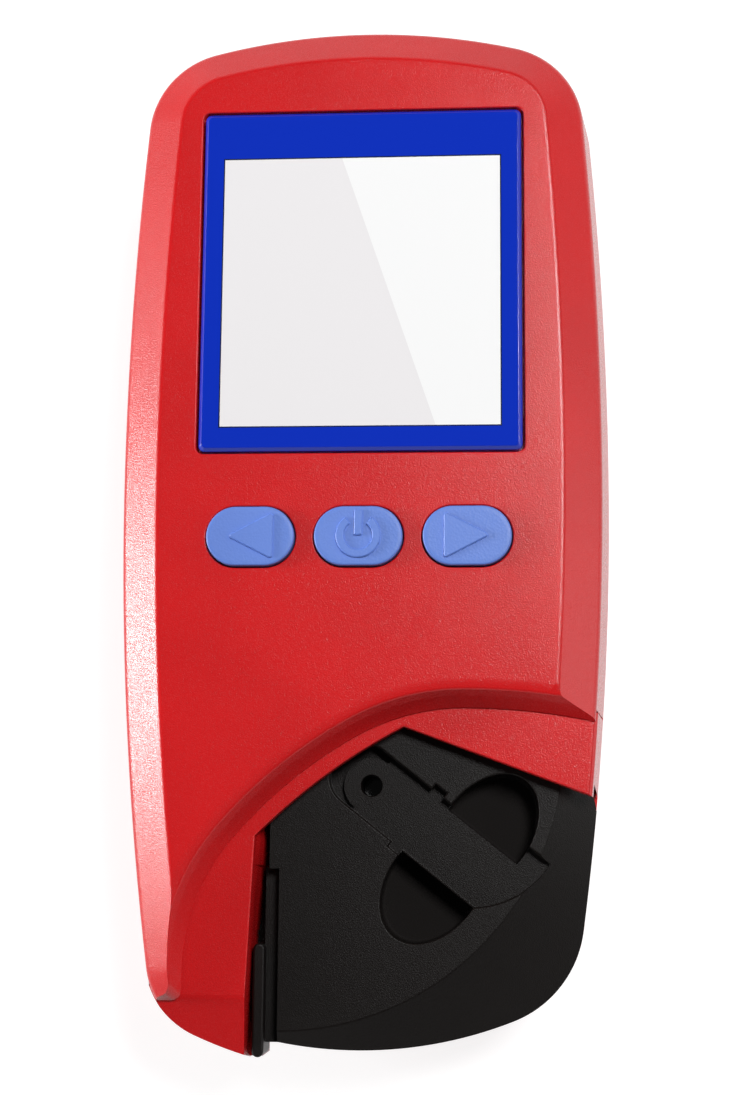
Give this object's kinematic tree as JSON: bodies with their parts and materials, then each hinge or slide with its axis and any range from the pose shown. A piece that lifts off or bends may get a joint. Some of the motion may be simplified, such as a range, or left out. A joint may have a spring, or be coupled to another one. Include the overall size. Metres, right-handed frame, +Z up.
{
  "type": "hemoglobin meter",
  "caption": "Hand-held blood test meter with a display, oval keys and a black cuvette tray that swings out of the lower corner of its rounded red case.",
  "frame": {"origin": "middle of the plan, on the surface that the rubber feet stand on", "axes": "+X to the right of a person reading the display, +Y along the meter to its display end, +Z up out of the face"},
  "size_m": [0.0724, 0.1522, 0.034],
  "materials": {
    "red_case": "fine textured red plastic, semi-matt",
    "clear_lens": "clear polished plastic",
    "blue_border": "saturated blue print behind the clear lens",
    "display_pale": "pale display, switched off",
    "white_plastic": "plain white plastic",
    "board_green": "green solder mask on glass fibre board",
    "chip_black": "black moulded parts",
    "steel": "plated steel",
    "blue_button": "light blue satin plastic",
    "foot_rubber": "black rubber pads",
    "cell_wrap": "plain dark wrapped cells",
    "tray_black": "fine textured matt black plastic"
  },
  "bodies": {
    "case": {"front_shell": "red_case", "lower_deck": "red_case", "rear_case": "red_case", "display_lens": "clear_lens", "display_border": "blue_border", "display_panel": "display_pale", "backlight": "white_plastic", "display_holder": "white_plastic", "main_board": "board_green", "processor": "chip_black", "display_driver": "chip_black", "buzzer": "chip_black", "data_socket": "steel", "switch_left": "chip_black", "switch_power": "chip_black", "switch_right": "chip_black", "board_screw_1": "steel", "board_screw_2": "steel", "board_screw_3": "steel", "board_screw_4": "steel", "case_screw_1": "steel", "case_screw_2": "steel", "case_screw_3": "steel", "case_screw_4": "steel", "bay_screw_1": "steel", "bay_screw_2": "steel", "bay_screw_3": "steel", "foot_1": "foot_rubber", "foot_2": "foot_rubber", "foot_3": "foot_rubber", "foot_4": "foot_rubber", "battery_1": "cell_wrap", "battery_2": "cell_wrap", "battery_3": "cell_wrap", "contact_front_pair": "steel", "contact_front_single": "steel", "contact_rear_single": "steel", "contact_rear_pair": "steel", "tray_pivot_pin": "steel", "tray_washer": "steel", "bay_floor": "tray_black", "optical_block": "chip_black", "optical_window": "clear_lens", "light_source": "clear_lens", "light_sensor": "chip_black", "optics_board": "board_green", "sensor_cable": "white_plastic"},
    "tray": {"cuvette_tray": "tray_black"},
    "door": {"battery_door": "red_case"},
    "left_key": {"button_left": "blue_button"},
    "power_key": {"button_power": "blue_button"},
    "right_key": {"button_right": "blue_button"}
  },
  "joints": [
    {"name": "tray_swing", "type": "hinge", "parent": "case", "child": "tray", "pos_m": [0.029, -0.0409, 0.0197], "axis": [0, 0, 1], "range_deg": [0, 50]},
    {"name": "door_swing", "type": "hinge", "parent": "case", "child": "door", "pos_m": [0, 0.00595, 0.0022], "axis": [-1, 0, 0], "range_deg": [0, 75]},
    {"name": "left_key_press", "type": "slide", "parent": "case", "child": "left_key", "axis": [0, 0, -1], "range_m": [0, 0.0006], "stiffness_N_per_m": 900, "springref_m": -0.0008},
    {"name": "power_key_press", "type": "slide", "parent": "case", "child": "power_key", "axis": [0, 0, -1], "range_m": [0, 0.0006], "stiffness_N_per_m": 900, "springref_m": -0.0008},
    {"name": "right_key_press", "type": "slide", "parent": "case", "child": "right_key", "axis": [0, 0, -1], "range_m": [0, 0.0006], "stiffness_N_per_m": 900, "springref_m": -0.0008}
  ]
}
